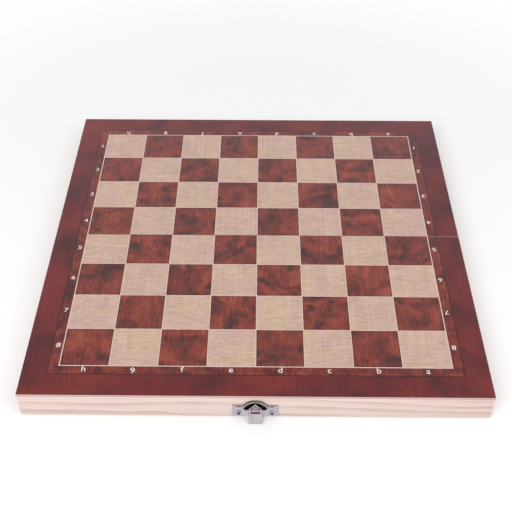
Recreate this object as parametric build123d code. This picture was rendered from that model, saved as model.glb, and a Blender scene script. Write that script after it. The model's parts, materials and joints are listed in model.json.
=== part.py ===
from build123d import *
import os

# A folding chess board that is also the box for its chessmen. It lies open with the playing side up.
# X runs along the fold, from the h file at the left to the a file at the right. The front half is at -Y.
# z = 0 is the table under the hinge knuckles. Lengths are in millimetres.
# FRONT and BACK also say which way a distance v from the seam is measured.
FRONT = -1
BACK = 1

# Overall size of the open board
board_width = 290.0
half_depth = 145.0
seam_gap = 0.3
rim_gap = 0.1

# Thicknesses, from the rim up to the playing surface
rail_height = 17.5
panel_thickness = 2.0
veneer_thickness = 0.5
lining_thickness = 0.5

# Frame of each half
rail_thickness = 9.0
rabbet_lip = 4.0
lining_gap = 0.3

# Marquetry, as distances in from the edge of the board and across the field
outer_border_width = 15.6
dark_line_width = 0.5
inner_border_width = 6.2
light_line_width = 0.7
square_line_width = 0.5
squares_across = 8
rows_per_half = 4

# Butt hinges in the rims
hinge_end_distance = 57.0
hinge_length = 30.0
leaf_reach = 8.4
leaf_thickness = 0.6
knuckle_radius = 1.1
knuckle_gap = 0.15
leaf_setback = 0.3
hinge_pin_radius = 0.5
hinge_pin_clearance = 0.05
notch_clearance = 0.2
mortise_clearance = 0.1
hinge_screw_pitch = 10.5
hinge_screw_v = 5.0

# Wood screws
screw_head_radius = 1.7
screw_shank_radius = 0.8
screw_length = 7.0
screw_tip_length = 1.6
screw_fit = 0.02
screw_hole_extra = 0.3
flat_head_height = 0.9
pan_head_height = 1.2
pan_head_rim = 0.25
recess_width = 0.6
recess_span = 2.0
recess_depth = 0.6

# Clasp plate on the front rail: h is the height above the rim, d the distance out from the rail
clasp_half_width = 14.0
clasp_bottom = 0.7
clasp_ear_top = 11.2
clasp_corner_radius = 1.2
clasp_sheet = 0.6
arch_base = 7.5
arch_radius = 8.2
arch_wall = 0.8
arch_height = 1.8
arch_edge_radius = 0.3
ear_slot_width = 3.2
ear_slot_height = 0.9
ear_slot_h = 10.1
clasp_screw_x = 10.2
clasp_screw_h = 4.5

# Clasp pivot and the barrels that hold its pin
pivot_h = 7.2
pivot_d = 1.2
clasp_pin_radius = 0.45
clasp_pin_seat = 0.02
clasp_pin_clearance = 0.05
barrel_radius = 0.95
barrel_length = 2.3
barrel_gap = 0.25

# Flap: u is the distance out from the pivot, s the distance down from it, with the clasp shut
flap_half_width = 4.1
flap_sheet = 0.6
flap_length = 8.9
flap_tip_radius = 0.6
flap_lip_depth = 0.8
flap_lip_height = 0.55
flap_lean = 24.0
flap_slot_width = 6.1
flap_slot_top = 0.6
flap_slot_bottom = 2.0
flap_slot_u = 0.3
heel_height = 7.5
heel_shoulder = 1.6
heel_tip_width = 1.0
heel_lean = 14.0
heel_boss_margin = 1.2
heel_boss_height = 0.5
heel_boss_taper = 40.0

# Leaf spring behind the heel
spring_thickness = 0.25
spring_gap = 0.05
spring_wrap = 0.5
spring_base = 7.7

# Catch plate on the back rail
catch_half_width = 10.0
catch_bottom = 0.5
catch_top = 9.1
catch_screw_x = 6.6
catch_screw_h = 5.4
nose_half_width = 3.0
nose_bottom = 0.4
nose_height = 0.5
nose_depth = 0.75

# Heights worked out from the sizes above
axis_z = knuckle_radius
rim_z = axis_z + rim_gap / 2
panel_z = rim_z + rail_height
veneer_z = panel_z + panel_thickness
top_z = veneer_z + veneer_thickness

# Places worked out from the sizes above
seam_v = seam_gap / 2
edge_x = board_width / 2
hinge_offset = edge_x - hinge_end_distance
dark_line_inset = outer_border_width
inner_border_inset = dark_line_inset + dark_line_width
light_line_inset = inner_border_inset + inner_border_width
field_inset = light_line_inset + light_line_width
field_width = board_width - 2 * field_inset
field_depth = half_depth - field_inset
square_width = field_width / squares_across
square_depth = field_depth / rows_per_half


def block(side, x0, x1, v0, v1, z0, z1):
    """A straight block of one half, with v measured out from the seam."""
    y = side * (v0 + v1) / 2
    return Pos((x0 + x1) / 2, y, (z0 + z1) / 2) * Box(x1 - x0, v1 - v0, z1 - z0)


def prism(side, corners, z0, height):
    """An upright prism of one half, from its corners (x, v)."""
    outline = Polygon(*[(x, side * v) for x, v in corners], align=None)
    return Pos(0, 0, z0) * extrude(outline, height, dir=(0, 0, 1))


def rail_face(side):
    """The outer face of a half's long rail: x along it, y up from the rim, z out of the wood."""
    return Plane(origin=(0, side * half_depth, rim_z), x_dir=(-side, 0, 0), z_dir=(0, side, 0))


def on_rail_face(side, shape):
    return rail_face(side).location * shape


def hinge_screw_places(side):
    """Where the screws of both leaves of one half enter, each with its head facing down."""
    places = []
    for hinge_x in (-hinge_offset, hinge_offset):
        for step in (-1, 0, 1):
            x = hinge_x + step * hinge_screw_pitch
            face = Plane(origin=(x, side * hinge_screw_v, rim_z), x_dir=(1, 0, 0), z_dir=(0, 0, -1))
            places.append(face.location)
    return places


def clasp_screw_places():
    """Screws of the clasp plate, which clamp the sheet to the rail."""
    return [rail_face(FRONT).location * Pos(x, clasp_screw_h, clasp_sheet)
            for x in (-clasp_screw_x, clasp_screw_x)]


def catch_screw_places():
    return [rail_face(BACK).location * Pos(x, catch_screw_h, clasp_sheet)
            for x in (-catch_screw_x, catch_screw_x)]


def cross_recess(top):
    """The crossed slots in a screw head, down from its top."""
    middle = top - recess_depth / 2
    along = Pos(0, 0, middle) * Box(recess_span, recess_width, recess_depth)
    across = Pos(0, 0, middle) * Box(recess_width, recess_span, recess_depth)
    return along + across


def turned(points):
    """A solid of revolution about Z from its outline (radius, z)."""
    outline = make_face(Plane.XZ * Polyline(*points, close=True))
    return revolve(outline, Axis.Z)


def flat_head_screw():
    body = turned([
        (0, 0),
        (screw_head_radius, 0),
        (screw_shank_radius, -flat_head_height),
        (screw_shank_radius, screw_tip_length - screw_length),
        (0, -screw_length),
    ])
    return body - cross_recess(0)


def flat_head_hole():
    """The hole of a flat-head screw, with its countersink, in a leaf and the wood behind it."""
    head = screw_head_radius + screw_fit
    shank = screw_shank_radius + screw_fit
    depth = screw_length + screw_hole_extra
    return turned([
        (0, screw_hole_extra),
        (head, screw_hole_extra),
        (head, 0),
        (shank, -flat_head_height),
        (shank, -depth),
        (0, -depth),
    ])


def pan_head_screw():
    dome = ThreePointArc(
        (0, pan_head_height),
        (screw_head_radius * 0.6, pan_head_height - pan_head_rim * 0.6),
        (screw_head_radius, pan_head_rim),
    )
    sides = Polyline(
        (screw_head_radius, pan_head_rim),
        (screw_head_radius, 0),
        (screw_shank_radius, 0),
        (screw_shank_radius, screw_tip_length - screw_length),
        (0, -screw_length),
        (0, pan_head_height),
    )
    body = revolve(make_face(Plane.XZ * (dome + sides)), Axis.Z)
    return body - cross_recess(pan_head_height)


def screw_hole():
    """The straight hole of a pan-head screw, through the sheet and into the wood."""
    depth = screw_length + screw_hole_extra
    hole = Cylinder(screw_shank_radius + screw_fit, depth + screw_hole_extra)
    return Pos(0, 0, (screw_hole_extra - depth) / 2) * hole


def hinge_relief(side, hinge_x):
    """What a hinge takes out of a rail: the mortise for the leaf and the notch for the knuckles."""
    mortise_half = hinge_length / 2 + mortise_clearance
    leaf_end = leaf_reach + mortise_clearance
    notch_v = knuckle_radius + notch_clearance
    mortise = block(side, hinge_x - mortise_half, hinge_x + mortise_half,
                    0, leaf_end, rim_z - leaf_thickness, rim_z + leaf_thickness)
    notch = block(side, hinge_x - mortise_half, hinge_x + mortise_half,
                  0, notch_v, rim_z - leaf_thickness, axis_z + notch_v)
    return mortise + notch


def outer_rail(side):
    """The long rail away from the seam, rabbeted at its ends for the side rails."""
    rail = block(side, -edge_x, edge_x, half_depth - rail_thickness, half_depth, rim_z, panel_z)
    for end in (-1, 1):
        x0, x1 = sorted((end * (edge_x - rail_thickness), end * edge_x))
        rail -= block(side, x0, x1, half_depth - rail_thickness, half_depth - rabbet_lip, rim_z, panel_z)
    places = clasp_screw_places() if side == FRONT else catch_screw_places()
    for place in places:
        rail -= place * screw_hole()
    return rail


def hinge_rail(side):
    """The long rail at the seam, rabbeted like the outer one and mortised for the hinges."""
    rail = block(side, -edge_x, edge_x, seam_v, seam_v + rail_thickness, rim_z, panel_z)
    for end in (-1, 1):
        x0, x1 = sorted((end * (edge_x - rail_thickness), end * edge_x))
        rail -= block(side, x0, x1, seam_v + rabbet_lip, seam_v + rail_thickness, rim_z, panel_z)
    for hinge_x in (-hinge_offset, hinge_offset):
        rail -= hinge_relief(side, hinge_x)
    for place in hinge_screw_places(side):
        rail -= place * flat_head_hole()
    return rail


def side_rail(side, end):
    x0, x1 = sorted((end * (edge_x - rail_thickness), end * edge_x))
    return block(side, x0, x1, seam_v + rabbet_lip, half_depth - rabbet_lip, rim_z, panel_z)


def panel(side):
    return block(side, -edge_x, edge_x, seam_v, half_depth, panel_z, veneer_z)


def lining(side):
    """The cloth glued to the panel inside the tray."""
    x = edge_x - rail_thickness - lining_gap
    return block(side, -x, x, seam_v + rail_thickness + lining_gap, half_depth - rail_thickness - lining_gap,
                 panel_z - lining_thickness, panel_z)


def mitred_strips(side, inset, width):
    """Three veneer strips round a half, mitred at its two outer corners."""
    x0 = edge_x - inset
    x1 = x0 - width
    v0 = half_depth - inset
    v1 = v0 - width
    outlines = [
        [(-x0, seam_v), (-x0, v0), (-x1, v1), (-x1, seam_v)],
        [(-x0, v0), (x0, v0), (x1, v1), (-x1, v1)],
        [(x0, v0), (x0, seam_v), (x1, seam_v), (x1, v1)],
    ]
    return Compound(children=[prism(side, corners, veneer_z, veneer_thickness) for corners in outlines])


def square(side, column, row):
    """One square of the field, with row 0 at the seam. The lines take half their width from it."""
    half_line = square_line_width / 2
    x0 = -field_width / 2 + column * square_width + (half_line if column > 0 else 0)
    x1 = -field_width / 2 + (column + 1) * square_width - (half_line if column < squares_across - 1 else 0)
    v0 = row * square_depth + (half_line if row > 0 else seam_v)
    v1 = (row + 1) * square_depth - (half_line if row < rows_per_half - 1 else 0)
    return block(side, x0, x1, v0, v1, veneer_z, top_z)


def is_light(side, column, row):
    """The square next to the seam at the left is light on the front half and dark on the back half."""
    first = 1 if side == FRONT else 0
    return (column + row + first) % 2 == 1


def squares(side, light):
    places = [(column, row) for row in range(rows_per_half) for column in range(squares_across)]
    return Compound(children=[square(side, *place) for place in places if is_light(side, *place) == light])


def light_lines(side):
    """The pale border line and the fine lines between the squares, as one lattice."""
    lattice = block(side, light_line_inset - edge_x, edge_x - light_line_inset,
                    seam_v, half_depth - light_line_inset, veneer_z, top_z)
    for row in range(rows_per_half):
        for column in range(squares_across):
            lattice -= square(side, column, row)
    return lattice


def hinge_leaf(side, hinge_x):
    """A hinge leaf with its knuckles: the front leaf has the two outer ones, the back leaf the middle one."""
    third = hinge_length / 3
    leaf = block(side, hinge_x - hinge_length / 2, hinge_x + hinge_length / 2,
                 knuckle_radius + leaf_setback, leaf_reach, rim_z, rim_z + leaf_thickness)
    starts = (-1.5, 0.5) if side == FRONT else (-0.5,)
    for start in starts:
        x0 = hinge_x + start * third + (knuckle_gap / 2 if start > -1.5 else 0)
        x1 = hinge_x + (start + 1) * third - (knuckle_gap / 2 if start < 0.5 else 0)
        middle = Pos((x0 + x1) / 2, 0, axis_z) * Rot(0, 90, 0)
        leaf += block(side, x0, x1, 0, knuckle_radius + leaf_setback, rim_z, rim_z + leaf_thickness)
        leaf += middle * Cylinder(knuckle_radius, x1 - x0)
    bore = Cylinder(hinge_pin_radius + hinge_pin_clearance, 2 * hinge_length)
    leaf -= Pos(hinge_x, 0, axis_z) * Rot(0, 90, 0) * bore
    for place in hinge_screw_places(side):
        leaf -= place * flat_head_hole()
    return leaf


def hinge_pin(hinge_x):
    pin = Cylinder(hinge_pin_radius, hinge_length)
    return Pos(hinge_x, 0, axis_z) * Rot(0, 90, 0) * chamfer(pin.edges(), hinge_pin_radius / 3)


def screws(places, shape):
    return Compound(children=[place * shape for place in places])


def half_disc(radius, base):
    """The part of a disc round the arch's middle that lies above the height base."""
    disc = Pos(0, arch_base) * Circle(radius)
    return disc & (Pos(0, base) * Rectangle(4 * radius, 2 * radius, align=(Align.CENTER, Align.MIN)))


def pivot_rod(radius, x0, x1):
    """A round rod along the clasp's pivot, in the coordinates of the rail's face."""
    return Pos((x0 + x1) / 2, pivot_h, pivot_d) * Rot(0, 90, 0) * Cylinder(radius, x1 - x0)


def clasp_plate():
    """The pressed plate: two screwed ears, a raised half-moon arch and two barrels for the pivot pin."""
    ears_height = clasp_ear_top - clasp_bottom
    ears = RectangleRounded(2 * clasp_half_width, ears_height, clasp_corner_radius)
    outline = Pos(0, clasp_bottom + ears_height / 2) * ears + half_disc(arch_radius, arch_base)
    window = half_disc(arch_radius - arch_wall, arch_base)
    notch_half = flap_half_width + barrel_gap
    notch = Pos(0, clasp_bottom) * Rectangle(2 * notch_half, arch_base, align=(Align.CENTER, Align.MIN))
    slot = RectangleRounded(ear_slot_width, ear_slot_height, ear_slot_height / 2.5)
    slots = [Pos(x, ear_slot_h) * slot for x in (-clasp_screw_x, clasp_screw_x)]
    plate = extrude(outline - window - notch - slots, clasp_sheet)

    ring = half_disc(arch_radius, arch_base) - half_disc(arch_radius - arch_wall, arch_base)
    arch = extrude(ring, arch_height)
    round_edges = arch.edges().filter_by(GeomType.CIRCLE).group_by(Axis.Z)[-1]
    plate += fillet(round_edges, arch_edge_radius)

    for end in (-1, 1):
        x0, x1 = sorted((end * notch_half, end * (notch_half + barrel_length)))
        web = Pos((x0 + x1) / 2, pivot_h - barrel_radius / 2, pivot_d / 2)
        plate += pivot_rod(barrel_radius, x0, x1)
        plate += web * Box(x1 - x0, barrel_radius, pivot_d)
    plate -= pivot_rod(clasp_pin_radius + clasp_pin_seat, -clasp_half_width, clasp_half_width)

    pocket = half_disc(arch_radius - arch_wall + spring_wrap + spring_gap, spring_base - spring_gap)
    plate -= extrude(pocket, spring_thickness + spring_gap)
    plate = on_rail_face(FRONT, plate)
    for place in clasp_screw_places():
        plate -= place * screw_hole()
    return plate


def clasp_spring():
    """The blued leaf in the arch, held under its rim and against the rail."""
    leaf = extrude(half_disc(arch_radius - arch_wall + spring_wrap, spring_base), spring_thickness)
    return on_rail_face(FRONT, leaf)


def clasp_pin():
    reach = flap_half_width + barrel_gap + barrel_length
    return on_rail_face(FRONT, pivot_rod(clasp_pin_radius, -reach, reach))


def heel():
    """The pointed heel: a sheet with shoulders, and a raised triangle with sloping sides on it."""
    outline = Polygon(
        (-flap_half_width, 0),
        (flap_half_width, 0),
        (flap_half_width, heel_shoulder),
        (heel_tip_width / 2, heel_height),
        (-heel_tip_width / 2, heel_height),
        (-flap_half_width, heel_shoulder),
        align=None,
    )
    boss_half = flap_half_width - heel_boss_margin
    triangle = Polygon(
        (-boss_half, 0),
        (boss_half, 0),
        (0, heel_height - heel_boss_margin),
        align=None,
    )
    boss = extrude(triangle, heel_boss_height, taper=heel_boss_taper)
    return extrude(outline, flap_sheet) + Pos(0, 0, flap_sheet) * boss


def clasp_flap():
    """The rocking flap: a tab with a hooked tip below the pivot and a pointed heel above it."""
    tab_u = barrel_radius - flap_sheet
    knuckle = Rot(0, 90, 0) * Cylinder(barrel_radius, 2 * flap_half_width)
    sheet = Rectangle(2 * flap_half_width, flap_length, align=(Align.CENTER, Align.MAX))
    sheet = fillet(sheet.vertices().group_by(Axis.Y)[0], flap_tip_radius)
    tab = Pos(0, 0, tab_u) * extrude(sheet, flap_sheet)
    lip_width = 2 * (flap_half_width - flap_tip_radius)
    lip = Box(lip_width, flap_lip_height, flap_lip_depth, align=(Align.CENTER, Align.MIN, Align.MAX))
    slot_height = flap_slot_top + flap_slot_bottom
    slot_depth = 2 * barrel_radius
    slot = Box(flap_slot_width, slot_height, slot_depth, align=(Align.CENTER, Align.MAX, Align.MIN))
    tab += knuckle + Pos(0, -flap_length, tab_u) * lip
    tab -= Pos(0, flap_slot_top, flap_slot_u) * slot

    raised_heel = Pos(0, 0, -barrel_radius + flap_sheet / 3) * heel()
    flap = Rot(-flap_lean, 0, 0) * tab + Rot(heel_lean, 0, 0) * raised_heel
    flap -= Rot(0, 90, 0) * Cylinder(clasp_pin_radius + clasp_pin_clearance, 4 * flap_half_width)
    return on_rail_face(FRONT, Pos(0, pivot_h, pivot_d) * flap)


def catch_plate():
    """The plate on the back half, with the nose that the flap's hooked tip holds when the box is shut."""
    height = catch_top - catch_bottom
    outline = Pos(0, catch_bottom + height / 2) * RectangleRounded(
        2 * catch_half_width, height, clasp_corner_radius)
    plate = extrude(outline, clasp_sheet)
    nose = Box(2 * nose_half_width, nose_height, clasp_sheet + nose_depth,
               align=(Align.CENTER, Align.MIN, Align.MIN))
    plate = on_rail_face(BACK, plate + Pos(0, nose_bottom, 0) * nose)
    for place in catch_screw_places():
        plate -= place * screw_hole()
    return plate


def half_nodes(name, side):
    """The wood, veneer and lining of one half."""
    return {
        name + "_outer_rail": outer_rail(side),
        name + "_hinge_rail": hinge_rail(side),
        name + "_left_rail": side_rail(side, -1),
        name + "_right_rail": side_rail(side, 1),
        name + "_panel": panel(side),
        name + "_lining": lining(side),
        name + "_outer_border": mitred_strips(side, 0, outer_border_width),
        name + "_dark_line": mitred_strips(side, dark_line_inset, dark_line_width),
        name + "_inner_border": mitred_strips(side, inner_border_inset, inner_border_width),
        name + "_light_lines": light_lines(side),
        name + "_light_squares": squares(side, True),
        name + "_dark_squares": squares(side, False),
    }


def hinge_nodes():
    nodes = {}
    for name, hinge_x in (("left", -hinge_offset), ("right", hinge_offset)):
        nodes[name + "_hinge_front_leaf"] = hinge_leaf(FRONT, hinge_x)
        nodes[name + "_hinge_back_leaf"] = hinge_leaf(BACK, hinge_x)
        nodes[name + "_hinge_pin"] = hinge_pin(hinge_x)
    nodes["front_hinge_screws"] = screws(hinge_screw_places(FRONT), flat_head_screw())
    nodes["back_hinge_screws"] = screws(hinge_screw_places(BACK), flat_head_screw())
    return nodes


def clasp_nodes():
    return {
        "clasp_plate": clasp_plate(),
        "clasp_spring": clasp_spring(),
        "clasp_pin": clasp_pin(),
        "clasp_flap": clasp_flap(),
        "clasp_screws": screws(clasp_screw_places(), pan_head_screw()),
        "catch_plate": catch_plate(),
        "catch_screws": screws(catch_screw_places(), pan_head_screw()),
    }


os.makedirs("parts", exist_ok=True)
parts = half_nodes("front", FRONT) | half_nodes("back", BACK) | hinge_nodes() | clasp_nodes()
for node, shape in parts.items():
    export_step(shape, f"parts/{node}.step")
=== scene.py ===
import bmesh
import bpy
import json
import math
from mathutils import Matrix, Vector


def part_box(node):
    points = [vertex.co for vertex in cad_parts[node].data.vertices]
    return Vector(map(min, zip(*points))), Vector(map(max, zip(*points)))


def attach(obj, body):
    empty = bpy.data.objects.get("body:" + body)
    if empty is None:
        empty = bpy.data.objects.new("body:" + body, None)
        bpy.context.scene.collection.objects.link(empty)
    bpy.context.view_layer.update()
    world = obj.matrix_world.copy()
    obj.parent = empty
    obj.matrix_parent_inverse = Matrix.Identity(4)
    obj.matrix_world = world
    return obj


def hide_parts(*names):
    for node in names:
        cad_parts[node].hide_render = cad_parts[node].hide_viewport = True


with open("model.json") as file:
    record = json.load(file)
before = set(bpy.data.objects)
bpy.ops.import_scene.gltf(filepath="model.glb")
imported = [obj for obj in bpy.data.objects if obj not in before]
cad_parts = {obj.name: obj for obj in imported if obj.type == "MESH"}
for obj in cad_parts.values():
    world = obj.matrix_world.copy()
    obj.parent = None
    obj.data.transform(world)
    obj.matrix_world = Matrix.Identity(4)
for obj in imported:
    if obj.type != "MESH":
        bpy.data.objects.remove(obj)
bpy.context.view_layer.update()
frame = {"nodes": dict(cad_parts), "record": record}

# The looks of a folding chess board, built round its CAD frame.

# Lengths are in millimetres, and MM turns them into Blender's metres. Angles are in degrees.
MM = 0.001

# The camera, found from the board's outline: its place from the middle of the playing surface, its
# angles, its focal length and how near it sees
CAMERA_PLACE = (2.61, -479.63, 430.16)
CAMERA_PITCH = 43.218
CAMERA_YAW = -0.411
CAMERA_ROLL = 0.105
CAMERA_LENS = 62.8
CAMERA_NEAR = 10.0

# The world is white to the eye and dimmer where it lights the object. In reflections it is bright
# low down and darker overhead, as a room with pale walls is. WALL_TOP and CEILING_START are angles
# above the horizon.
WHITE = (1.0, 1.0, 1.0)
SKY_LIGHT = (0.62, 0.62, 0.62)
SKY_TINT = (0.96, 0.94, 1.04)
WALL_TOP = 34.0
CEILING_START = 52.0
WALL_BRIGHTNESS = 0.86
CEILING_BRIGHTNESS = 0.42

# The lamps, which aim at the origin: where each is and how wide, in metres, and its power in watts
LAMPS = {
    "key": ((-0.60, -1.25, 1.25), 1.0, 14.0),
    "fill": ((0.90, -0.90, 1.35), 1.1, 7.0),
}

# The floor, in metres: its half width, how far from the middle it starts and ends its fade into the
# white background, and the half width of the place under the board where light comes up through
# it. It has one colour for the light that it throws back and another for the eye.
FLOOR_HALF = 4.0
FADE_START = 0.21
FADE_END = 0.50
UNDER_BOARD = 0.155
FLOOR_BOUNCE = (0.80, 0.80, 0.80)
FLOOR_WHITE = (0.98, 0.98, 0.98)

# The width of a square, and half the width of the field and of the board, as the part has them
SQUARE = 30.5
FIELD_HALF = 4 * SQUARE
EDGE = 145.0

# The pale edge along the fold: its mean width on each side, its colour, and how plain it is at the
# left and right ends
SEAM_WEAR = 0.24
SEAM_COLOUR = (0.55, 0.36, 0.32)
SEAM_PLAINNESS = (0.25, 0.85)

# The dark cut edge of each burl square: how far in it is darkest and how far in it ends, and what
# it multiplies the colour by
RIM_REACH = (0.2, 1.3)
RIM_SHADE = 0.55

# Most values of a noise lie in this range. The pattern of each square is moved by up to FAR_AWAY
# along each axis. LAYER is more than the board's height, so a square has one pattern.
NOISE_RANGE = (0.3, 0.7)
FAR_AWAY = 700.0
LAYER = 1000.0

# Burls: where their clouds lie in the noise, from dark to bright, and the colours of those clouds
# in each burl; how far squares differ; and the eyes, which are dark spots: the values of a slow
# noise between which they grow, how large they get and how soft their rims are
BURL_STOPS = (0.30, 0.43, 0.54, 0.70)
MAHOGANY = (
    (0.072, 0.018, 0.021), (0.122, 0.022, 0.023), (0.166, 0.025, 0.023), (0.205, 0.031, 0.024),
)
SQUARE_BURL = (
    (0.078, 0.029, 0.025), (0.163, 0.038, 0.029), (0.238, 0.049, 0.032), (0.310, 0.070, 0.041),
)
BAND_BURL = (
    (0.075, 0.022, 0.021), (0.140, 0.028, 0.024), (0.200, 0.038, 0.028), (0.275, 0.062, 0.040),
)
BURL_SPREAD = 0.10
EYE_GROWTH = (0.42, 0.70)
EYE_REACH = 0.42
EYE_RIM = 0.16

# Pale veneer: its colours from yellow to pink, how far squares differ, and its tan streaks: where
# they lie in their noise, how strong they are and what they multiply the colour by
MAPLE = (
    (0.36, (0.645, 0.456, 0.334)), (0.50, (0.640, 0.442, 0.352)), (0.64, (0.635, 0.428, 0.362)),
)
MAPLE_SPREAD = 0.24
STREAK_RANGE = (0.56, 0.68)
STREAK_STRENGTH = 0.8
STREAK_TAN = (0.93, 0.86, 0.74)

# Pine: the distance between growth rings, how they rise along the grain and how far they wander;
# how much late wood there is from one ring to the next; and the values of a slow noise between
# which that comes back from faded to full, and how much of it is left where it is faded
PINE_RING = 7.4
PINE_SLOPE = 0.03
PINE_WANDER = 16.0
LATE_WOOD = ((0.0, 0.0), (0.04, 0.0), (0.45, 0.12), (0.93, 1.0), (1.0, 0.0))
FADING_RANGE = (0.35, 0.65)
FADED = 0.35

# The colours of early wood, late wood and the painted highlight on a rail's upper edge, and what
# damp patches multiply them by. The painted highlight starts, and is full, this far below the top
# of the rail.
PINE_EARLY = (0.84, 0.67, 0.618)
PINE_LATE = (0.62, 0.42, 0.34)
PINE_EDGE_HIGHLIGHT = (0.97, 0.76, 0.73)
PINE_DAMP = (0.97, 0.955, 0.95)
RAIL_TOP = 18.65
HIGHLIGHT_START = 1.0
HIGHLIGHT_FULL = 0.3
HIGHLIGHT_STRENGTH = 0.55

# The middle of each rail's growth rings: the distance across the grain and the height
PINE_RINGS = {
    "front_outer_rail": (-163.0, -75.0),
    "back_outer_rail": (156.0, 92.0),
    "front_hinge_rail": (24.0, -50.0),
    "back_hinge_rail": (-20.0, -64.0),
    "left_rail": (-160.0, -58.0),
    "right_rail": (151.0, 83.0),
}

# The wood behind the clasp's plate gets painted shade, a dark maroon that its slots show. The
# painted shade ends a margin inside the plate's outline. Its top is taken from the top of the
# plate's ears.
PLATE_SHADE = (0.37, 0.070, 0.068)
PATCH_TOP = 12.35
PATCH_MARGIN = 0.4

# The panel's edge, from its lower face to its upper one
PLIES = (
    (0.00, (0.58, 0.43, 0.385)), (0.30, (0.60, 0.445, 0.405)), (0.36, (0.53, 0.375, 0.35)),
    (0.66, (0.56, 0.40, 0.375)), (0.72, (0.68, 0.50, 0.46)), (1.00, (0.70, 0.51, 0.47)),
)

# Lines, cloth and ink: where their colours lie in their noises. NAP multiplies the cloth's colour.
LIGHT_LINE = ((0.35, (0.68, 0.475, 0.41)), (0.65, (0.79, 0.585, 0.52)))
DARK_LINE = ((0.35, (0.016, 0.006, 0.006)), (0.65, (0.028, 0.010, 0.009)))
BAIZE = ((0.3, (0.018, 0.085, 0.045)), (0.7, (0.03, 0.125, 0.066)))
NAP = ((0.3, 0.7), (0.7, 1.2))
INK = ((0.3, (0.86, 0.81, 0.80)), (0.6, (0.94, 0.90, 0.89)))

# Metals: the colour, tarnished colour and roughness of each, and for all of them, how much tarnish
# there is along its noise, and the size of the scratches along X, Y and Z
# Nickel's faint mauve tint is a painted reflection of its surroundings
NICKEL = ((0.67, 0.625, 0.64), (0.48, 0.445, 0.45), 0.24)
# Painted shade: a dark nickel for faces that should look shaded
SHADED_NICKEL = ((0.26, 0.24, 0.235), (0.14, 0.125, 0.12), 0.42)
# Blued steel for the spring, which also serves as painted shade in the screws' recesses
BLUED_STEEL_AND_SHADE = ((0.045, 0.036, 0.05), (0.10, 0.06, 0.05), 0.3)
BRASS = ((0.78, 0.58, 0.28), (0.50, 0.33, 0.15), 0.3)
TARNISH = ((0.45, 0.0), (0.75, 0.8))
SCRATCH_LENGTHS = (9.0, 0.4, 0.4)

# The cut edges of the two nickel plates get painted shade, a darker nickel: the faces whose
# normals reach less far along Y
CUT_EDGE_COSINE = 0.5

# So do slanted faces of the flap, from this far above its pivot: those whose normals reach between
# these two along X
HEEL_START = 1.0
HEEL_COSINES = (0.25, 0.95)

# The screws of the clasp and of its catch plate: the x and z of each
SCREW_PLACES = ((-10.2, 5.65), (10.2, 5.65), (-6.6, 6.55), (6.6, 6.55))

# The dirt and painted shade in the middle of a screw's head, and the radii between which they fade
DIRT_AND_SHADE = (0.035, 0.03, 0.03)
DIRT_AND_SHADE_RADII = (0.75, 1.35)

# The crossed recess in a screw's head, whose faces get painted shade: how far out it reaches, how
# far below the top of the head its faces lie, the depth below which every face is its own, and how
# little its walls look along Y
RECESS_RADIUS = 1.1
RECESS_DEPTHS = (0.1, 0.75)
RECESS_FLOOR = 0.5
RECESS_WALL_COSINE = 0.3

# How far edges are rounded
RAIL_EDGE = 0.35
THIN_WOOD_EDGE = 0.12
BOARD_EDGE = 0.28
SHEET_EDGE = 0.08
FLAP_EDGE = 0.1
SCREW_EDGE = 0.05

# The shortest edges that are rounded, on rails, hinges and the clasp
LONG_EDGES = 3.0
HINGE_EDGES = 0.5
CLASP_EDGES = 0.3

# Meshes: points closer than WELD are joined, and so are faces that meet flatter than FLAT_ANGLE.
# Edges above ROUNDED_ANGLE are rounded, and those above SHARP_ANGLE are shaded sharp. A point that
# is nearer to a face than NEAR is on it.
WELD = 0.0004
FLAT_ANGLE = 0.6
ROUNDED_ANGLE = 30.0
SHARP_ANGLE = 35.0
NEAR = 0.01

# Lettering between the two border lines: the size of the type, how far its g hangs down, what the
# height of digits is multiplied by, how thick the ink is, how far the letters' base lines and the
# middles of digits lie from the board's edge, and half a digit's height. The front half's numbers
# lie a little nearer to the fold.
GLYPH_SIZE = 6.3
G_DROP = 1.1
DIGIT_SQUEEZE = 0.8
GLYPH_LIFT = 0.012
LETTER_BASE = 18.0
DIGIT_MIDDLE = 19.4
DIGIT_HALF = 1.75
FRONT_DIGIT_SHIFT = 1.2

record = frame["record"]


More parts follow.
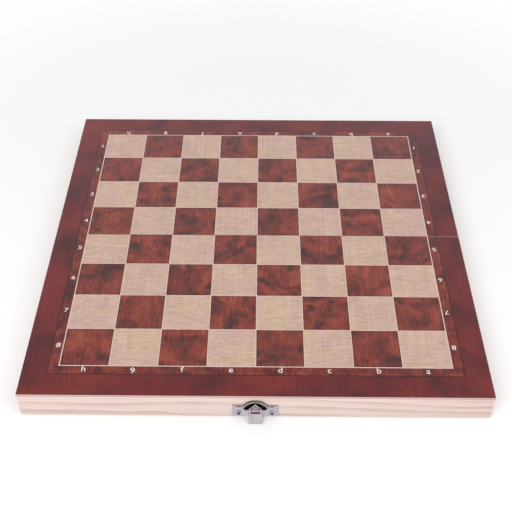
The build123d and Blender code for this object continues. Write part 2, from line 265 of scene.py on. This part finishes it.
class Nodes:
    """Shader nodes built with short calls. A value for a socket is a number, a colour or another
    socket. node() gives the new node, and the other calls give its output."""

    def __init__(self, tree):
        self.tree = tree

    def node(self, kind, inputs=(), **settings):
        made = self.tree.nodes.new("ShaderNode" + kind)
        for key, value in settings.items():
            setattr(made, key, value)
        for key, value in dict(inputs).items():
            self.feed(made.inputs[key], value)
        return made

    def feed(self, socket, value):
        if isinstance(value, bpy.types.NodeSocket):
            self.tree.links.new(value, socket)
        else:
            socket.default_value = value

    def split(self, vector):
        """The X, Y and Z of a vector."""
        return self.node("SeparateXYZ", {0: vector}).outputs

    def vector(self, operation, first, second=None, **extra):
        inputs = {0: first} | extra
        if second is not None:
            inputs[1] = second
        return self.node("VectorMath", inputs, operation=operation).outputs[0]

    def length(self, vector):
        return self.node("VectorMath", {0: vector}, operation="LENGTH").outputs["Value"]

    def math(self, operation, *values, clamp=False):
        inputs = dict(enumerate(values))
        return self.node("Math", inputs, operation=operation, use_clamp=clamp).outputs[0]

    def ramp(self, factor, stops):
        """A colour or grey from stops (place, colour)."""
        made = self.node("ValToRGB", {"Fac": factor})
        elements = made.color_ramp.elements
        while len(elements) < len(stops):
            elements.new(0.5)
        for element, (place, colour) in zip(elements, stops):
            element.position = place
            element.color = (*colour, 1) if isinstance(colour, tuple) else (colour,) * 3 + (1,)
        return made.outputs["Color"]

    def mix(self, factor, first, second, mode="MIX"):
        made = self.node("Mix", data_type="RGBA", blend_type=mode)
        self.feed(made.inputs["Factor"], factor)
        for socket, value in ((made.inputs[6], first), (made.inputs[7], second)):
            self.feed(socket, (*value, 1) if isinstance(value, tuple) else value)
        return made.outputs[2]

    def times(self, colour, factor):
        return self.mix(1.0, colour, factor, "MULTIPLY")

    def span(self, value, low, high, to_low, to_high):
        """The value carried smoothly from one range to another, and held at its ends."""
        inputs = {"Value": value, "From Min": low, "From Max": high,
                  "To Min": to_low, "To Max": to_high}
        return self.node("MapRange", inputs, interpolation_type="SMOOTHSTEP").outputs[0]


class Material(Nodes):
    """A material of one Principled shader, whose patterns are sized in millimetres."""

    def __init__(self, name):
        self.data = bpy.data.materials.new(name)
        self.data.use_nodes = True
        super().__init__(self.data.node_tree)
        self.shader = self.tree.nodes["Principled BSDF"]

    def set(self, **values):
        """Sets sockets of the shader, such as Base_Color for Base Color."""
        for key, value in values.items():
            self.feed(self.shader.inputs[key.replace("_", " ")], value)

    def place(self):
        """The point on the object at rest."""
        coordinates = self.node("TexCoord").outputs["Object"]
        return self.vector("SCALE", coordinates, Scale=1 / MM)

    def noise(self, vector, lengths=None, scale=1.0, detail=3.0, roughness=0.55, distortion=0.0,
              output=0):
        """A noise. lengths are those of its features along X, Y and Z."""
        if lengths:
            vector = self.vector("DIVIDE", vector, lengths)
        inputs = {"Vector": vector, "Scale": scale, "Detail": detail, "Roughness": roughness,
                  "Distortion": distortion}
        return self.node("TexNoise", inputs).outputs[output]

    def shaded(self, colour, noise, darkest, lightest):
        """The colour multiplied by a noise that is carried to this range."""
        return self.times(colour, self.span(noise, *NOISE_RANGE, darkest, lightest))

    def bent(self, vector, scale, reach):
        """The vector bent by a slow noise, by up to about half the reach."""
        warp = self.noise(vector, scale=scale, detail=2.0, output="Color")
        warp = self.vector("SUBTRACT", warp, (0.5, 0.5, 0.5))
        return self.vector("ADD", vector, self.vector("SCALE", warp, Scale=2 * reach))

    def grey(self, colour):
        return self.node("RGBToBW", {0: colour}).outputs[0]

    def bump(self, height, distance):
        """A normal for relief that is this high."""
        inputs = {"Height": height, "Distance": distance * MM, "Strength": 1.0}
        return self.node("Bump", inputs).outputs["Normal"]


def per_square(material, vector):
    """The vector moved far away by another amount on each square, and a random number for it."""
    cell = material.vector("FLOOR", material.vector("DIVIDE", vector, (SQUARE, SQUARE, LAYER)))
    random = material.node("TexWhiteNoise", {"Vector": cell}, noise_dimensions="3D")
    chance = random.outputs["Color"]
    jump = material.vector("SCALE", chance, Scale=FAR_AWAY)
    return material.vector("ADD", vector, jump), material.grey(chance)


def spread(material, noise, chance, most):
    """The noise moved up or down by chance, by up to half of most."""
    return material.math("ADD", noise, material.math("MULTIPLY_ADD", chance, most, -most / 2))


def worn_seam(material, place, colour):
    """The colour with the pale edge along the fold, where the lacquer is rubbed thin. It is plainer
    on the right than on the left."""
    parts = material.split(place)
    distance = material.math("ABSOLUTE", parts["Y"])
    ragged = material.noise(place, lengths=(3.0, 1.0, 1.0), detail=4.0)
    worn = material.math("LESS_THAN", distance, material.math("MULTIPLY", ragged, 2 * SEAM_WEAR))
    plainness = material.span(parts["X"], -EDGE, EDGE, *SEAM_PLAINNESS)
    return material.mix(material.math("MULTIPLY", worn, plainness), colour, SEAM_COLOUR)


def lacquered(material, place):
    """High gloss: a clear coat with the faint ripple of a sprayed finish."""
    ripple = material.noise(place, scale=0.16, detail=1.0)
    material.set(Roughness=0.5, Specular_IOR_Level=0.0)
    material.set(Coat_Weight=1.0, Coat_Roughness=0.05, Coat_IOR=1.5)
    material.set(Coat_Normal=material.bump(ripple, 0.02))


def square_rim(material, place):
    """How much darker the veneer is at the cut edges of its square: 1 inside, less at the rim."""
    parts = material.split(place)
    across = material.math("PINGPONG", parts["X"], SQUARE / 2)
    along = material.math("PINGPONG", parts["Y"], SQUARE / 2)
    return material.span(material.math("MINIMUM", across, along), *RIM_REACH, RIM_SHADE, 1.0)


def burl(name, tones, cloud_size, squares=False, fibre=0.2, eyes=1.0):
    """Red-brown burl with fine fibres along Y. Where squares is true, each square is another piece
    of it. fibre is the contrast of its fibres and eyes the size of its eyes."""
    material = Material(name)
    place = vector = material.place()
    if squares:
        vector, chance = per_square(material, place)
    bent = material.bent(vector, scale=1 / (3.2 * cloud_size), reach=1.5 * cloud_size)
    clouds = material.noise(bent, scale=1 / cloud_size, detail=3.5, roughness=0.5, distortion=0.25)
    if squares:
        clouds = spread(material, clouds, chance, BURL_SPREAD)
    colour = material.ramp(clouds, tuple(zip(BURL_STOPS, tones)))

    swirl = material.bent(vector, scale=0.045, reach=3.6)
    fibres = material.noise(swirl, lengths=(1.0, 26.0, 1.0), roughness=0.6)
    colour = material.shaded(colour, fibres, 1 - 1.4 * fibre, 1 + 1.1 * fibre)
    curls = material.noise(bent, lengths=(2.2, 5.0, 1.0), detail=2.0, distortion=1.2)
    colour = material.shaded(colour, curls, 1 - 0.8 * fibre, 1 + 0.7 * fibre)

    spots = material.node("TexVoronoi", {"Vector": bent, "Scale": 0.075}).outputs["Distance"]
    sparse = material.noise(vector, scale=0.035, detail=1.0)
    reach = material.span(sparse, *EYE_GROWTH, 0.0, EYE_REACH * eyes)
    inside = material.math("SUBTRACT", reach, spots, clamp=True)
    colour = material.mix(material.math("DIVIDE", inside, EYE_RIM, clamp=True), colour, tones[0])
    if squares:
        colour = material.times(colour, square_rim(material, place))
    material.set(Base_Color=worn_seam(material, place, colour))
    lacquered(material, place)
    return material.data


def maple(name):
    """Pale figured veneer: fine lines along the board and broken ripples across them."""
    material = Material(name)
    place = material.place()
    vector, chance = per_square(material, place)
    drift = material.noise(vector, scale=0.055, detail=2.0, roughness=0.5)
    colour = material.ramp(spread(material, drift, chance, MAPLE_SPREAD), MAPLE)
    lines = material.noise(vector, lengths=(0.6, 60.0, 1.0), roughness=0.7)
    colour = material.shaded(colour, lines, 0.90, 1.06)
    wavy = material.bent(vector, scale=0.08, reach=2.4)
    ripples = material.noise(wavy, lengths=(9.0, 0.9, 1.0), roughness=0.6)
    colour = material.shaded(colour, ripples, 0.82, 1.08)
    streaks = material.noise(wavy, lengths=(24.0, 1.5, 1.0), detail=2.0)
    streaked = material.span(streaks, *STREAK_RANGE, 0.0, STREAK_STRENGTH)
    colour = material.mix(streaked, colour, material.times(colour, STREAK_TAN))
    patches = material.noise(vector, scale=0.07, detail=2.0)
    colour = material.shaded(colour, patches, 0.96, 1.03)
    material.set(Base_Color=worn_seam(material, place, colour))
    lacquered(material, place)
    return material.data


def stringing(name, stops):
    """A narrow inlaid line."""
    material = Material(name)
    place = material.place()
    shade = material.noise(place, scale=0.6)
    material.set(Base_Color=material.ramp(shade, stops))
    lacquered(material, place)
    return material.data


def stained_patch(material, parts, plate):
    """1 on the wood that a metal plate covers, where shade is painted, and 0 around it."""
    low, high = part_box(plate)
    middle = (low + high) / 2 / MM
    reach = (high - low) / 2 / MM
    beside = material.math("ABSOLUTE", material.math("SUBTRACT", parts["X"], middle.x))
    inside = material.math("LESS_THAN", beside, reach.x - PATCH_MARGIN)
    under = material.math("LESS_THAN", parts["Z"], PATCH_TOP - PATCH_MARGIN)
    above = material.math("GREATER_THAN", parts["Z"], low.z / MM + PATCH_MARGIN)
    return material.math("MULTIPLY", inside, material.math("MULTIPLY", under, above))


def pine(name, rail, along, under_plate=None):
    """Planed softwood. rail is one of PINE_RINGS, and along is the axis of its grain."""
    material = Material(name)
    place = material.place()
    parts = material.split(place)
    across = "Y" if along == "X" else "X"
    long_way = (150.0, 26.0, 26.0) if along == "X" else (26.0, 150.0, 26.0)
    fine_way = (55.0, 0.45, 0.45) if along == "X" else (0.45, 55.0, 0.45)
    middle_across, middle_height = PINE_RINGS[rail]

    drift = material.noise(place, lengths=long_way, roughness=0.5)
    rise = material.math("MULTIPLY", parts[along], PINE_SLOPE)
    width = material.math("SUBTRACT", parts[across], middle_across)
    height = material.math("SUBTRACT", material.math("ADD", parts["Z"], rise), middle_height)
    squares = (material.math("POWER", side, 2.0) for side in (width, height))
    radius = material.math("SQRT", material.math("ADD", *squares))
    radius = material.math("ADD", radius, material.math("MULTIPLY", drift, PINE_WANDER))
    ring = material.math("FRACT", material.math("DIVIDE", radius, PINE_RING))
    late = material.ramp(ring, LATE_WOOD)
    fading = material.noise(place, lengths=long_way, scale=1.7)
    late = material.math("MULTIPLY", late, material.span(fading, *FADING_RANGE, FADED, 1.0))
    colour = material.mix(late, PINE_EARLY, PINE_LATE)

    fibres = material.noise(place, lengths=fine_way, detail=4.0, roughness=0.7)
    colour = material.shaded(colour, fibres, 0.94, 1.03)
    damp = material.noise(place, scale=0.02, detail=2.0)
    colour = material.times(colour, material.ramp(damp, ((0.35, PINE_DAMP), (0.65, WHITE))))
    # Painted highlight: the upper edge of the rail is lighter, as a lit edge looks
    edge_highlight = material.span(parts["Z"], RAIL_TOP - HIGHLIGHT_START, RAIL_TOP - HIGHLIGHT_FULL, 0.0,
                          HIGHLIGHT_STRENGTH)
    colour = material.mix(edge_highlight, colour, PINE_EDGE_HIGHLIGHT)
    # Painted shade on the wood behind the clasp's plate, seen through its slots
    if under_plate:
        colour = material.mix(stained_patch(material, parts, under_plate), colour, PLATE_SHADE)
    material.set(Base_Color=colour, Roughness=material.math("MULTIPLY_ADD", fibres, 0.2, 0.36))
    material.set(Normal=material.bump(fibres, 0.03), Specular_IOR_Level=0.3)
    return material.data


def plywood(name):
    """Thin plywood: its edge shows its plies, and its faces a straight grain."""
    material = Material(name)
    place = material.place()
    fibres = material.noise(place, lengths=(30.0, 0.6, 0.25), detail=4.0, roughness=0.7)
    low, high = (corner.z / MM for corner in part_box("front_panel"))
    height = material.span(material.split(place)["Z"], low, high, 0.0, 1.0)
    colour = material.shaded(material.ramp(height, PLIES), fibres, 0.90, 1.05)
    material.set(Base_Color=colour, Roughness=0.5, Normal=material.bump(fibres, 0.03))
    return material.data


def baize(name):
    """Short-napped green cloth."""
    material = Material(name)
    place = material.place()
    nap = material.noise(place, scale=3.2, detail=4.0, roughness=0.75)
    tufts = material.noise(place, scale=0.35)
    colour = material.times(material.ramp(tufts, BAIZE), material.ramp(nap, NAP))
    material.set(Base_Color=colour, Roughness=0.95, Sheen_Weight=0.35, Sheen_Roughness=0.4)
    material.set(Specular_IOR_Level=0.15, Normal=material.bump(nap, 0.12))
    return material.data


def grime(material, place):
    """1 in the middle of each screw's head, where dirt and shade gather, and 0 towards its rim."""
    distances = []
    for x, z in SCREW_PLACES:
        apart = material.vector("SUBTRACT", place, (x, 0.0, z))
        distances.append(material.length(material.vector("MULTIPLY", apart, (1.0, 0.0, 1.0))))
    nearest = distances[0]
    for distance in distances[1:]:
        nearest = material.math("MINIMUM", nearest, distance)
    return material.span(nearest, *DIRT_AND_SHADE_RADII, 1.0, 0.0)


def metal(name, colour, tarnish, roughness, dirty_and_shaded=False):
    """Plated or blued metal with fine scratches and a little dullness in patches."""
    material = Material(name)
    place = material.place()
    patches = material.noise(place, scale=0.28, detail=4.0, roughness=0.6)
    scratches = material.noise(place, lengths=SCRATCH_LENGTHS, scale=4.0, roughness=0.7)
    colour = material.mix(material.ramp(patches, TARNISH), colour, tarnish)
    if dirty_and_shaded:
        # Dirt and painted shade in the middle of the screws' heads
        colour = material.mix(grime(material, place), colour, DIRT_AND_SHADE)
    rough = material.math("MULTIPLY_ADD", patches, 0.22, roughness - 0.08)
    material.set(Base_Color=colour, Metallic=1.0, Roughness=rough)
    material.set(Normal=material.bump(scratches, 0.006))
    return material.data


def print_ink(name):
    """White lettering under the lacquer."""
    material = Material(name)
    specks = material.noise(material.place(), scale=1.6)
    material.set(Base_Color=material.ramp(specks, INK), Roughness=0.4)
    material.set(Coat_Weight=1.0, Coat_Roughness=0.04)
    return material.data


def make_materials():
    """The finishes that more than one piece has."""
    return {
        "left_rail": pine("pine_left", "left_rail", along="Y"),
        "right_rail": pine("pine_right", "right_rail", along="Y"),
        "panel": plywood("panel_wood"),
        "lining": baize("lining_cloth"),
        "outer_border": burl("mahogany", MAHOGANY, cloud_size=34.0, fibre=0.08, eyes=0.5),
        "dark_squares": burl("burl", SQUARE_BURL, cloud_size=13.0, squares=True),
        "inner_border": burl("burl_band", BAND_BURL, cloud_size=11.0),
        "light_squares": maple("maple"),
        "light_lines": stringing("light_line", LIGHT_LINE),
        "dark_line": stringing("dark_line", DARK_LINE),
        "nickel": metal("nickel", *NICKEL),
        "screw_nickel": metal("screw_nickel", *NICKEL, dirty_and_shaded=True),
        "shaded_nickel": metal("shaded_nickel", *SHADED_NICKEL),
        "blued_steel": metal("blued_steel", *BLUED_STEEL_AND_SHADE),
        "brass": metal("hinge_brass", *BRASS),
        "ink": print_ink("print_ink"),
    }


def welded(node):
    """A copy of a CAD node's mesh with its seams closed and its flat faces whole."""
    work = bmesh.new()
    work.from_mesh(frame["nodes"][node].data)
    bmesh.ops.remove_doubles(work, verts=work.verts, dist=WELD * MM)
    bmesh.ops.dissolve_limit(work, angle_limit=math.radians(FLAT_ANGLE), verts=work.verts,
                             edges=work.edges)
    return work


def finished(work, node, material):
    """Turns the work into a piece that stands for a CAD node and rides on its body."""
    mesh = bpy.data.meshes.new(node + "_finished")
    work.normal_update()
    work.to_mesh(mesh)
    work.free()
    mesh.shade_smooth()
    mesh.set_sharp_from_angle(angle=math.radians(SHARP_ANGLE))
    mesh.materials.append(material)
    piece = bpy.data.objects.new(node + "_finished", mesh)
    bpy.context.scene.collection.objects.link(piece)
    normals = piece.modifiers.new("normals", "WEIGHTED_NORMAL")
    normals.keep_sharp = True
    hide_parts(node)
    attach(piece, body_of(node))
    return piece


def body_of(node):
    """The body that a CAD node rides on."""
    bodies = record["behaviour"]["bodies"]
    return next(body for body, members in bodies.items() if node in members)


def softened(node, material, width, least=0.0, pick=None, segments=2):
    """A copy of a node with its sharp edges rounded. least is the shortest edge that is rounded."""
    work = welded(node)
    chosen = [edge for edge in work.edges
              if edge.is_manifold and edge.calc_face_angle() > math.radians(ROUNDED_ANGLE)
              and edge.calc_length() > least * MM and (pick is None or pick(edge))]
    bmesh.ops.bevel(work, geom=chosen, offset=width * MM, offset_type="OFFSET", segments=segments,
                    profile=0.5, affect="EDGES", clamp_overlap=True)
    return finished(work, node, material)


def refinished(piece, material, chosen):
    """Gives painted shade, a second material, to the faces of a piece that are chosen by their
    centre and normal.
    """
    piece.data.materials.append(material)
    for face in piece.data.polygons:
        if chosen(face.center / MM, face.normal):
            face.material_index = 1


def painted(node, material):
    """A CAD node that keeps its shape and gets its finish."""
    materials = frame["nodes"][node].data.materials
    materials.clear()
    materials.append(material)


def on_outer_edge(edge):
    """Whether an edge of the playing surface runs round the outside of the board."""
    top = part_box("front_outer_border")[1].z - NEAR * MM
    limit = (EDGE - NEAR) * MM
    ends = [vertex.co for vertex in edge.verts]
    return all(end.z > top for end in ends) and (
        all(abs(end.x) > limit for end in ends) or all(abs(end.y) > limit for end in ends))


def dress_half(half, finishes):
    for rail in ("outer_rail", "hinge_rail"):
        node = f"{half}_{rail}"
        plate = "clasp_plate" if node == "front_outer_rail" else None
        wood = pine("pine_" + node, node, along="X", under_plate=plate)
        softened(node, wood, RAIL_EDGE, least=LONG_EDGES)
    for rail in ("left_rail", "right_rail"):
        softened(f"{half}_{rail}", finishes[rail], THIN_WOOD_EDGE, least=LONG_EDGES)
    softened(f"{half}_panel", finishes["panel"], THIN_WOOD_EDGE)
    softened(f"{half}_outer_border", finishes["outer_border"], BOARD_EDGE, pick=on_outer_edge,
             segments=3)
    for skin in ("lining", "dark_line", "inner_border", "light_lines", "light_squares",
                 "dark_squares"):
        painted(f"{half}_{skin}", finishes[skin])


def in_recess(middle, normal, head):
    """Whether a face lies in the crossed recess of a screw. head is how far out along Y the top of
    its head is."""
    outwards = min(math.hypot(middle.x - x, middle.z - z) for x, z in SCREW_PLACES)
    depth = head - abs(middle.y)
    is_inside = RECESS_DEPTHS[0] < depth < RECESS_DEPTHS[1] and outwards <= RECESS_RADIUS
    return is_inside and (depth > RECESS_FLOOR or abs(normal.y) < RECESS_WALL_COSINE)


def dress_hinges(finishes):
    for side in ("left", "right"):
        for leaf in ("front_leaf", "back_leaf"):
            softened(f"{side}_hinge_{leaf}", finishes["brass"], SHEET_EDGE, least=HINGE_EDGES)
        painted(f"{side}_hinge_pin", finishes["brass"])
    for half in ("front", "back"):
        painted(f"{half}_hinge_screws", finishes["brass"])


def dress_clasp(finishes):
    nickel, shade_nickel, steel_and_shade = (finishes[name] for name in ("nickel", "shaded_nickel", "blued_steel"))
    for node in ("clasp_plate", "catch_plate"):
        plate = softened(node, nickel, SHEET_EDGE, least=CLASP_EDGES)
        # Painted shade on the cut edges of the plate
        refinished(plate, shade_nickel, lambda middle, normal: abs(normal.y) < CUT_EDGE_COSINE)

    flap = softened("clasp_flap", nickel, FLAP_EDGE, least=CLASP_EDGES)
    joints = {row["name"]: row for row in record["behaviour"]["joints"]}
    heel_start = joints["clasp_swing"]["pos_m"][2] / MM + HEEL_START
    least, most = HEEL_COSINES
    # Painted shade on the slanted faces of the flap's heel
    refinished(flap, shade_nickel,
               lambda middle, normal: middle.z > heel_start and least < abs(normal.x) < most)

    for node in ("clasp_screws", "catch_screws"):
        head = max(abs(corner.y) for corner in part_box(node)) / MM
        screws = softened(node, finishes["screw_nickel"], SCREW_EDGE, least=CLASP_EDGES)
        # Painted shade in the screws' recesses
        refinished(screws, steel_and_shade, lambda middle, normal: in_recess(middle, normal, head))
    painted("clasp_pin", nickel)
    painted("clasp_spring", steel_and_shade)


def glyph(text, x, y, turned_round):
    """One printed character as a mesh in its place. x and y are the middle of its base line. The g
    has one storey: it is a 9 that hangs below the line."""
    curve = bpy.data.curves.new("glyph", "FONT")
    curve.body = "9" if text == "g" else text
    curve.size = GLYPH_SIZE * MM
    curve.align_x = "CENTER"
    curve.extrude = GLYPH_LIFT * MM / 2
    curve.resolution_u = 6
    holder = bpy.data.objects.new("glyph", curve)
    bpy.context.scene.collection.objects.link(holder)
    bpy.context.view_layer.update()
    evaluated = holder.evaluated_get(bpy.context.evaluated_depsgraph_get())
    shape = bpy.data.meshes.new_from_object(evaluated)
    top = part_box("front_inner_border")[1].z + GLYPH_LIFT * MM
    turn = Matrix.Rotation(math.pi if turned_round else 0.0, 4, "Z")
    squeeze = Matrix.Diagonal((1, DIGIT_SQUEEZE if text.isdigit() else 1, 1, 1))
    drop = Matrix.Translation((0, -G_DROP * MM if text == "g" else 0, 0))
    shape.transform(Matrix.Translation((x * MM, y * MM, top)) @ turn @ squeeze @ drop)
    bpy.data.objects.remove(holder)
    return shape


def lettering(name, characters, body, material):
    """All the characters of one half as one piece."""
    work = bmesh.new()
    for character in characters:
        shape = glyph(*character)
        work.from_mesh(shape)
        bpy.data.meshes.remove(shape)
    mesh = bpy.data.meshes.new(name)
    work.to_mesh(mesh)
    work.free()
    mesh.materials.append(material)
    piece = bpy.data.objects.new(name, mesh)
    bpy.context.scene.collection.objects.link(piece)
    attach(piece, body)


def file_letters(edge_sign):
    """The letters along the front or back edge, which read from that side of the board."""
    rows = []
    for column, letter in enumerate("hgfedcba"):
        x = -FIELD_HALF + (column + 0.5) * SQUARE
        rows.append((letter, x, edge_sign * (EDGE - LETTER_BASE), edge_sign > 0))
    return rows


def rank_numbers(first, last):
    """The numbers of some ranks at both sides; those at the right read from the back."""
    rows = []
    for rank in range(first, last + 1):
        middle = FIELD_HALF - (rank - 0.5) * SQUARE
        middle += FRONT_DIGIT_SHIFT if middle < 0 else 0
        rows.append((str(rank), DIGIT_MIDDLE - EDGE, middle - DIGIT_HALF, False))
        rows.append((str(rank), EDGE - DIGIT_MIDDLE, middle + DIGIT_HALF, True))
    return rows


def make_camera():
    data = bpy.data.cameras.new("camera")
    data.lens = CAMERA_LENS
    data.clip_start = CAMERA_NEAR * MM
    camera = bpy.data.objects.new("camera", data)
    bpy.context.scene.collection.objects.link(camera)
    pitch, yaw, roll = map(math.radians, (CAMERA_PITCH, CAMERA_YAW, CAMERA_ROLL))
    ahead = Vector((math.sin(yaw), math.cos(yaw), 0)) * math.cos(pitch)
    forward = ahead - Vector((0, 0, math.sin(pitch)))
    right = Vector((math.cos(yaw), -math.sin(yaw), 0))
    up = right.cross(forward)
    rolled_right = math.cos(roll) * right + math.sin(roll) * up
    rolled_up = math.cos(roll) * up - math.sin(roll) * right
    axes = Matrix((rolled_right, rolled_up, -forward)).transposed().to_4x4()
    surface = Vector((0, 0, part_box("front_light_squares")[1].z))
    camera.matrix_world = Matrix.Translation(Vector(CAMERA_PLACE) * MM + surface) @ axes
    bpy.context.scene.camera = camera


def make_world():
    """A pale room: white to the eye, dimmer as light, and darker overhead in reflections."""
    world = bpy.data.worlds.new("world")
    bpy.context.scene.world = world
    world.use_nodes = True
    nodes = Nodes(world.node_tree)
    rays = nodes.node("LightPath").outputs
    height = nodes.split(nodes.node("TexCoord").outputs["Generated"])["Z"]
    wall_top, ceiling_start = (math.sin(math.radians(at)) for at in (WALL_TOP, CEILING_START))
    overhead = nodes.node("MapRange", {"Value": height, "From Min": wall_top,
                                       "From Max": ceiling_start}).outputs[0]
    walls, ceiling = (tuple(brightness * part for part in SKY_TINT)
                      for brightness in (WALL_BRIGHTNESS, CEILING_BRIGHTNESS))
    mirrored = nodes.mix(overhead, walls, ceiling)
    unseen = nodes.mix(rays["Is Glossy Ray"], SKY_LIGHT, mirrored)
    seen = nodes.mix(rays["Is Camera Ray"], unseen, WHITE)
    nodes.feed(world.node_tree.nodes["Background"].inputs["Color"], seen)


def make_lamp(name, place, width, power):
    data = bpy.data.lights.new(name, "AREA")
    data.shape = "DISK"
    data.size = width
    data.energy = power
    lamp = bpy.data.objects.new(name, data)
    lamp.location = place
    lamp.rotation_euler = (-Vector(place)).to_track_quat("-Z", "Y").to_euler()
    lamp.visible_glossy = False
    bpy.context.scene.collection.objects.link(lamp)


def make_floor():
    """A pale floor that looks white to the eye and keeps the shadow. It is see-through from below,
    far from the board, and to the light that comes up under the board."""
    mesh = bpy.data.meshes.new("floor")
    corners = [(-FLOOR_HALF, -FLOOR_HALF, 0), (FLOOR_HALF, -FLOOR_HALF, 0),
               (FLOOR_HALF, FLOOR_HALF, 0), (-FLOOR_HALF, FLOOR_HALF, 0)]
    mesh.from_pydata(corners, [], [(0, 1, 2, 3)])
    floor = bpy.data.objects.new("floor", mesh)
    bpy.context.scene.collection.objects.link(floor)

    material = Material("floor")
    seen = material.node("LightPath").outputs["Is Camera Ray"]
    unseen = material.math("SUBTRACT", 1.0, seen)
    place = material.node("TexCoord").outputs["Object"]
    fade = material.span(material.length(place), FADE_START, FADE_END, 1.0, 0.0)
    below = material.node("NewGeometry").outputs["Backfacing"]
    looked_at = material.math("MULTIPLY", fade, material.math("SUBTRACT", 1.0, below))
    sides = material.split(material.vector("ABSOLUTE", place))
    farthest = material.math("MAXIMUM", sides["X"], sides["Y"])
    beside = material.math("GREATER_THAN", farthest, UNDER_BOARD)
    alpha = material.math("ADD", material.math("MULTIPLY", seen, looked_at),
                          material.math("MULTIPLY", unseen, beside))
    material.set(Base_Color=material.mix(seen, FLOOR_BOUNCE, FLOOR_WHITE), Alpha=alpha)
    material.set(Roughness=0.9, Specular_IOR_Level=0.0)
    mesh.materials.append(material.data)


make_camera()
make_world()
for lamp_name, (lamp_place, lamp_width, lamp_power) in LAMPS.items():
    make_lamp(lamp_name, lamp_place, lamp_width, lamp_power)
make_floor()
finishes = make_materials()
dress_half("front", finishes)
dress_half("back", finishes)
dress_hinges(finishes)
dress_clasp(finishes)
lettering("front_lettering", file_letters(-1) + rank_numbers(5, 8), "front_half", finishes["ink"])
lettering("back_lettering", file_letters(1) + rank_numbers(1, 4), "back_half", finishes["ink"])

bpy.context.scene.view_settings.view_transform = "Standard"
